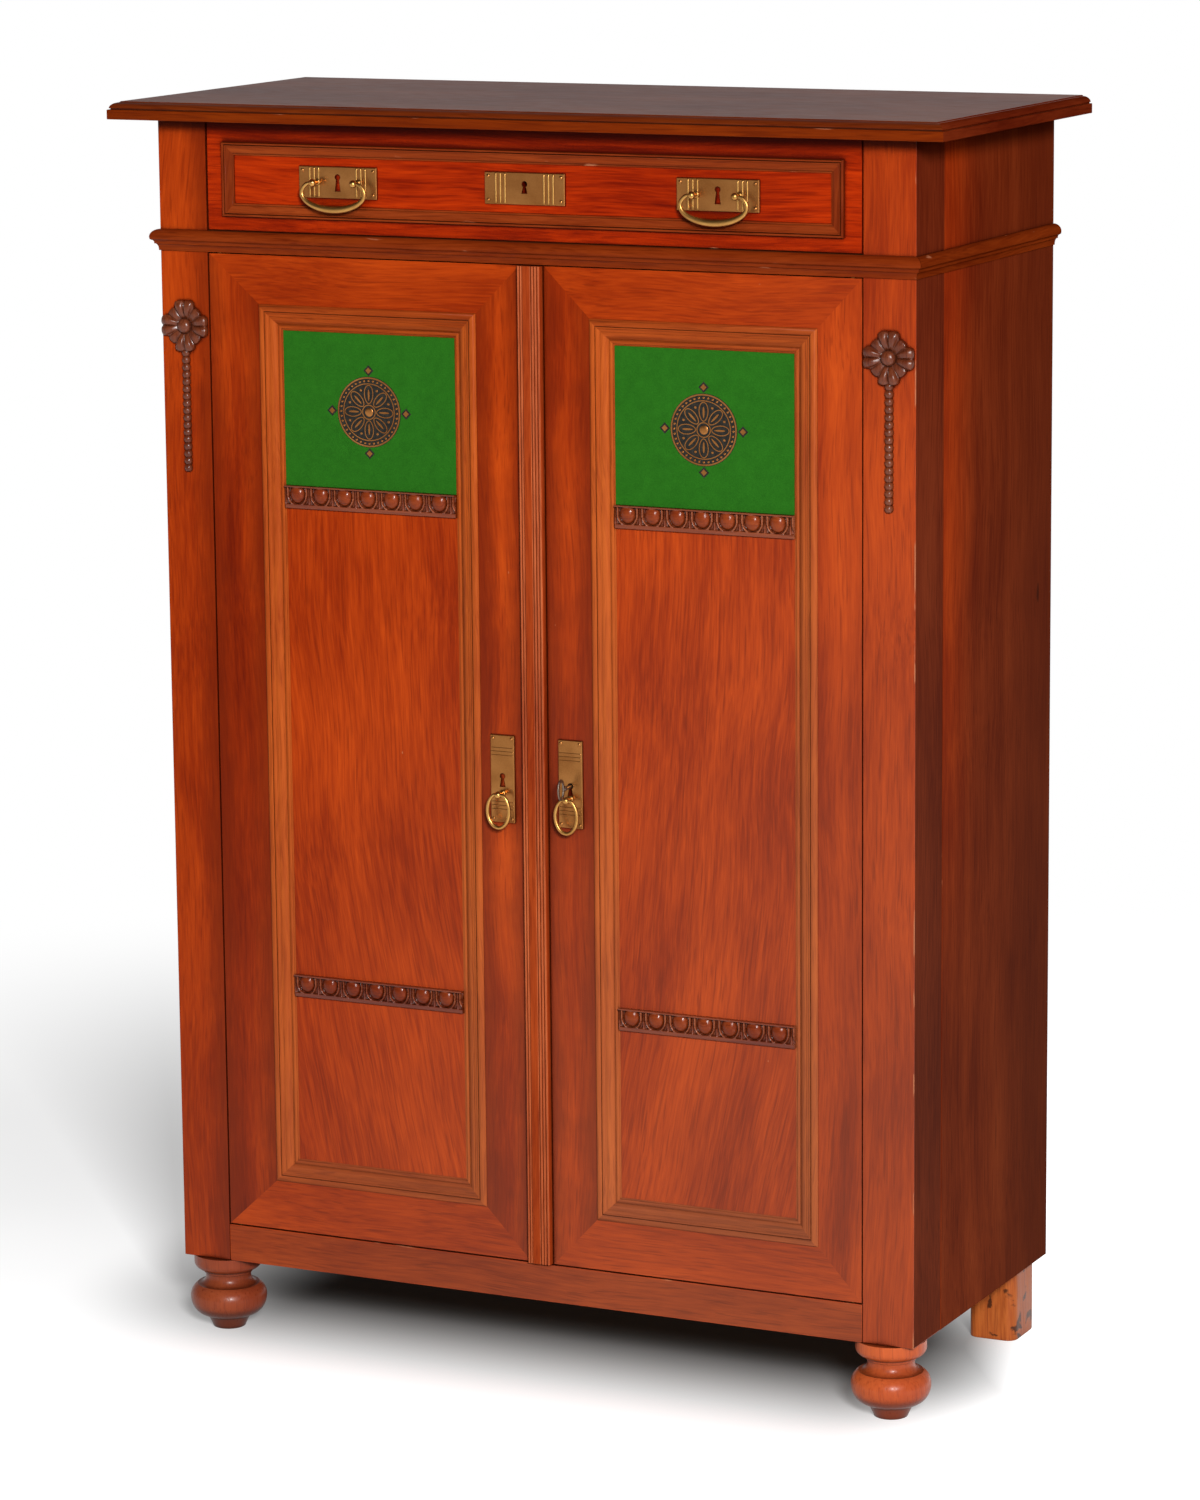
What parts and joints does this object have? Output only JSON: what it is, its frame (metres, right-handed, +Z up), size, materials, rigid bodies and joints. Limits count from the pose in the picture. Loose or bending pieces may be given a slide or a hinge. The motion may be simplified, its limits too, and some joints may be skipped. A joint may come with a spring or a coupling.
{
  "type": "highboard cabinet",
  "caption": "Wooden highboard cabinet with panelled doors under a wide drawer, carved rosettes and egg-and-dart rails, brass bail and ring pulls, on turned bun feet.",
  "frame": {"origin": "on the floor, under the middle of the top board's outline", "axes": "+Z up, -Y out of the front, +X to the right of someone who faces the doors"},
  "size_m": [1.015, 0.446, 1.442],
  "materials": {
    "veneer": "polished red-brown veneer",
    "drawer_veneer": "polished red veneer, grain lengthwise",
    "side_veneer": "polished dark red-brown veneer",
    "moulding_wood": "polished brown moulding",
    "carved_wood": "polished dark carving",
    "block_wood": "stained block, worn",
    "pine": "bare softwood",
    "green_felt": "matt green baize",
    "brass": "aged satin brass",
    "iron": "worn iron"
  },
  "bodies": {
    "carcass": {"top_board": "veneer", "left_front_post": "veneer", "right_front_post": "veneer", "left_side_panel": "side_veneer", "right_side_panel": "side_veneer", "back_panel": "pine", "floor_board": "pine", "dust_board": "pine", "plinth_rail": "veneer", "left_drawer_guide": "pine", "right_drawer_guide": "pine", "lower_shelf": "pine", "upper_shelf": "pine", "mid_moulding_front": "moulding_wood", "mid_moulding_left": "moulding_wood", "mid_moulding_right": "moulding_wood", "left_front_foot": "veneer", "right_front_foot": "veneer", "left_rear_foot": "block_wood", "right_rear_foot": "block_wood", "left_rosette": "carved_wood", "right_rosette": "carved_wood"},
    "drawer": {"drawer_front": "drawer_veneer", "drawer_left_side": "pine", "drawer_right_side": "pine", "drawer_back": "pine", "drawer_bottom": "pine", "drawer_moulding": "moulding_wood", "drawer_lock_case": "iron", "left_pull_plate": "brass", "right_pull_plate": "brass", "drawer_escutcheon": "brass"},
    "drawer_lock_bolt": {"drawer_lock_bolt": "iron"},
    "left_bail": {"left_bail": "brass"},
    "right_bail": {"right_bail": "brass"},
    "left_door": {"left_door_frame": "veneer", "left_door_panel": "veneer", "left_panel_moulding": "moulding_wood", "left_green_field": "green_felt", "left_upper_egg_rail": "carved_wood", "left_lower_egg_rail": "carved_wood", "meeting_strip": "moulding_wood", "left_ring_plate": "brass", "left_bottom_pivot": "brass", "left_top_pivot": "brass"},
    "left_ring": {"left_ring": "brass"},
    "left_top_bolt": {"left_top_bolt": "iron"},
    "right_door": {"right_door_frame": "veneer", "right_door_panel": "veneer", "right_panel_moulding": "moulding_wood", "right_green_field": "green_felt", "right_upper_egg_rail": "carved_wood", "right_lower_egg_rail": "carved_wood", "right_ring_plate": "brass", "right_bottom_pivot": "brass", "right_top_pivot": "brass", "door_lock_case": "iron"},
    "right_ring": {"right_ring": "brass"},
    "door_lock_bolt": {"door_lock_bolt": "iron"},
    "door_key": {"door_key": "iron"}
  },
  "joints": [
    {"name": "drawer_slide", "type": "slide", "parent": "carcass", "child": "drawer", "axis": [0, -1, 0], "range_m": [0, 0.3]},
    {"name": "drawer_bolt_slide", "type": "slide", "parent": "drawer", "child": "drawer_lock_bolt", "axis": [0, 0, 1], "range_m": [0, 0.008]},
    {"name": "left_bail_swing", "type": "hinge", "parent": "drawer", "child": "left_bail", "pos_m": [-0.23225, -0.1998, 1.3558], "axis": [-1, 0, 0], "range_deg": [0, 80]},
    {"name": "right_bail_swing", "type": "hinge", "parent": "drawer", "child": "right_bail", "pos_m": [0.23225, -0.1998, 1.3558], "axis": [-1, 0, 0], "range_deg": [0, 80]},
    {"name": "left_door_hinge", "type": "hinge", "parent": "carcass", "child": "left_door", "pos_m": [-0.388, -0.181, 0.7], "axis": [0, 0, -1], "range_deg": [0, 110]},
    {"name": "left_ring_swing", "type": "hinge", "parent": "left_door", "child": "left_ring", "pos_m": [-0.03575, -0.1998, 0.6775], "axis": [-1, 0, 0], "range_deg": [0, 75]},
    {"name": "left_top_bolt_slide", "type": "slide", "parent": "left_door", "child": "left_top_bolt", "axis": [0, 0, 1], "range_m": [0, 0.01]},
    {"name": "right_door_hinge", "type": "hinge", "parent": "carcass", "child": "right_door", "pos_m": [0.388, -0.181, 0.7], "axis": [0, 0, 1], "range_deg": [0, 110]},
    {"name": "right_ring_swing", "type": "hinge", "parent": "right_door", "child": "right_ring", "pos_m": [0.04875, -0.1998, 0.6775], "axis": [-1, 0, 0], "range_deg": [0, 75]},
    {"name": "key_turn", "type": "hinge", "parent": "right_door", "child": "door_key", "pos_m": [0.04875, -0.2, 0.692], "axis": [0, 1, 0], "range_deg": [0, 90]},
    {"name": "lock_bolt_slide", "type": "slide", "parent": "right_door", "child": "door_lock_bolt", "axis": [-1, 0, 0], "range_m": [0, 0.01]}
  ],
  "couplings": [
    {"joint": "lock_bolt_slide", "follows": "key_turn", "m_per_rad": 0.00636}
  ]
}
